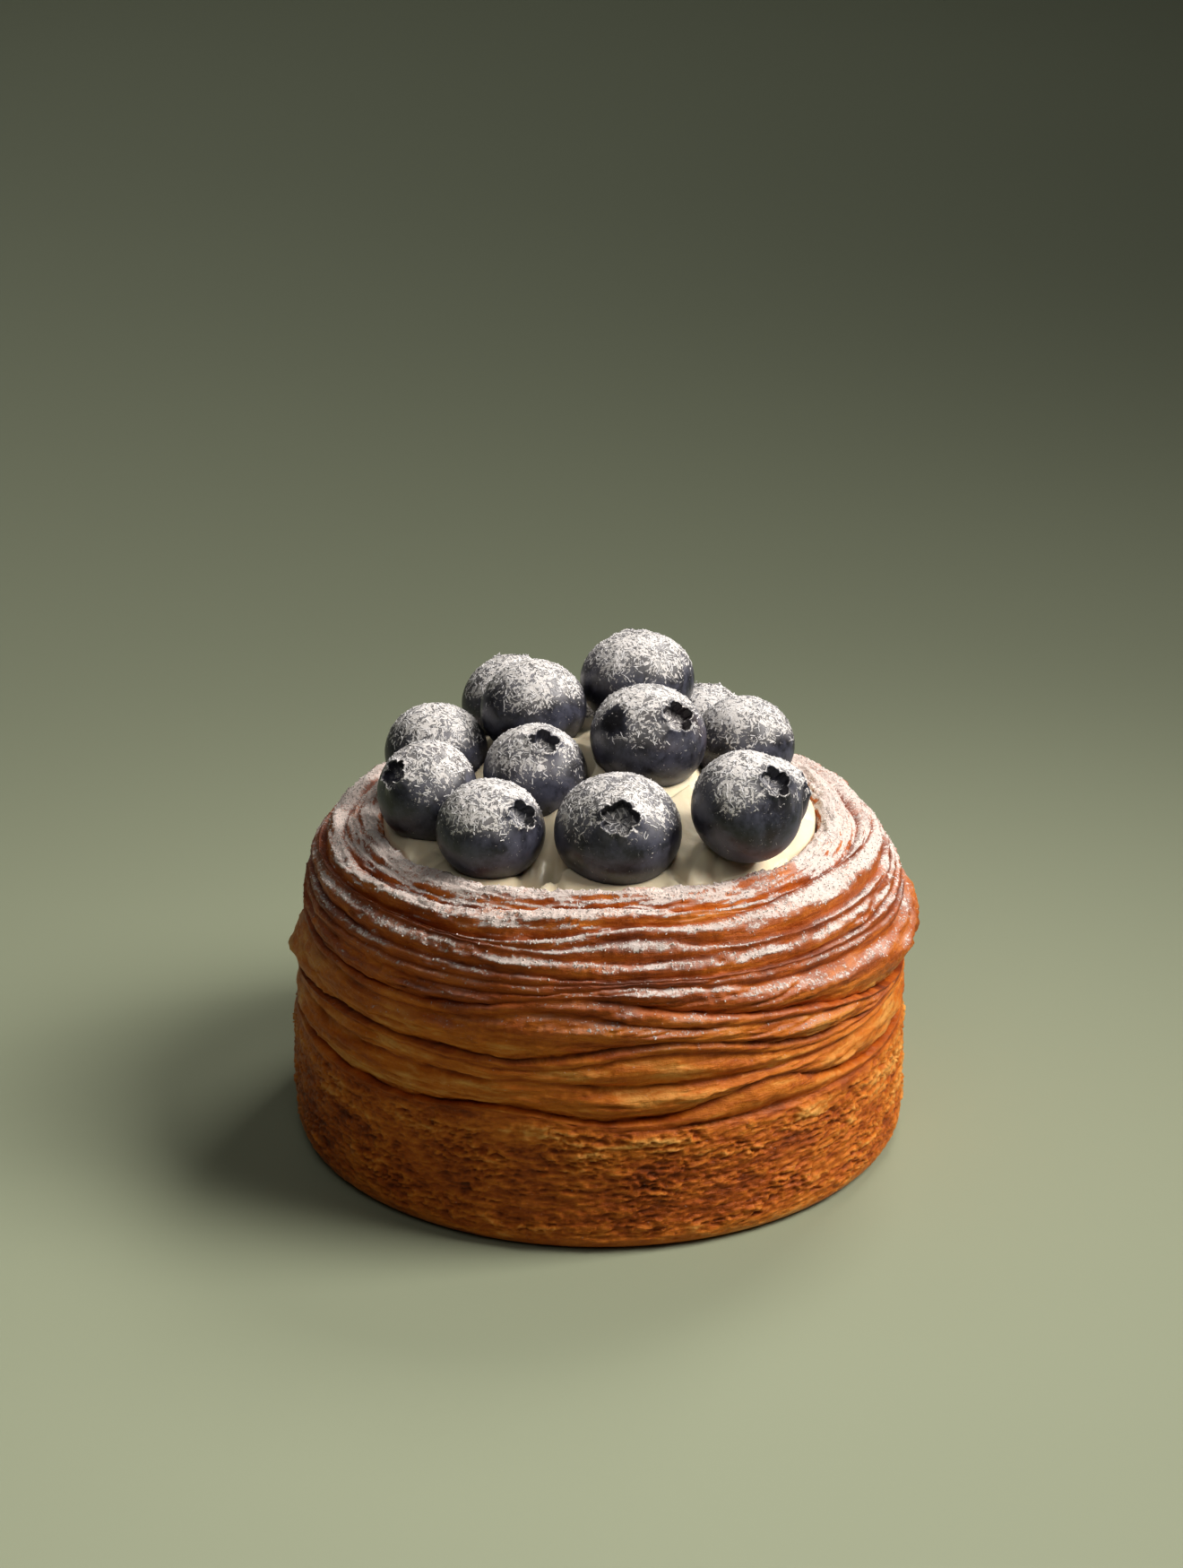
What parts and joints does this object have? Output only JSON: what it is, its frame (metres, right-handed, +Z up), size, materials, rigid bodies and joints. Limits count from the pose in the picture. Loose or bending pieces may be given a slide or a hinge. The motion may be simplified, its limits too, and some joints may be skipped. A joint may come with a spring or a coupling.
{
  "type": "blueberry pastry",
  "caption": "Ring-baked laminated pastry with wrapped layers, filled with piped cream and heaped with sugar-dusted blueberries.",
  "frame": {"origin": "centre of the flat base, on the surface that the pastry stands on", "axes": "+Z up, -Y towards the front that the picture shows, +X to the right of that view"},
  "size_m": [0.0852, 0.0845, 0.0657],
  "materials": {
    "crust": "baked crust, satin",
    "cream": "soft cream, satin",
    "berry": "waxy bloom, matte"
  },
  "bodies": {
    "root": {"pastry": "crust", "cream": "cream", "berry_back_left": "berry", "berry_upper_left": "berry", "berry_left": "berry", "berry_left_rim": "berry", "berry_front_left": "berry", "berry_middle_left": "berry", "berry_top": "berry", "berry_middle": "berry", "berry_front": "berry", "berry_right": "berry", "berry_right_low": "berry", "berry_right_back": "berry", "berry_back_right": "berry", "berry_back": "berry"}
  },
  "joints": []
}
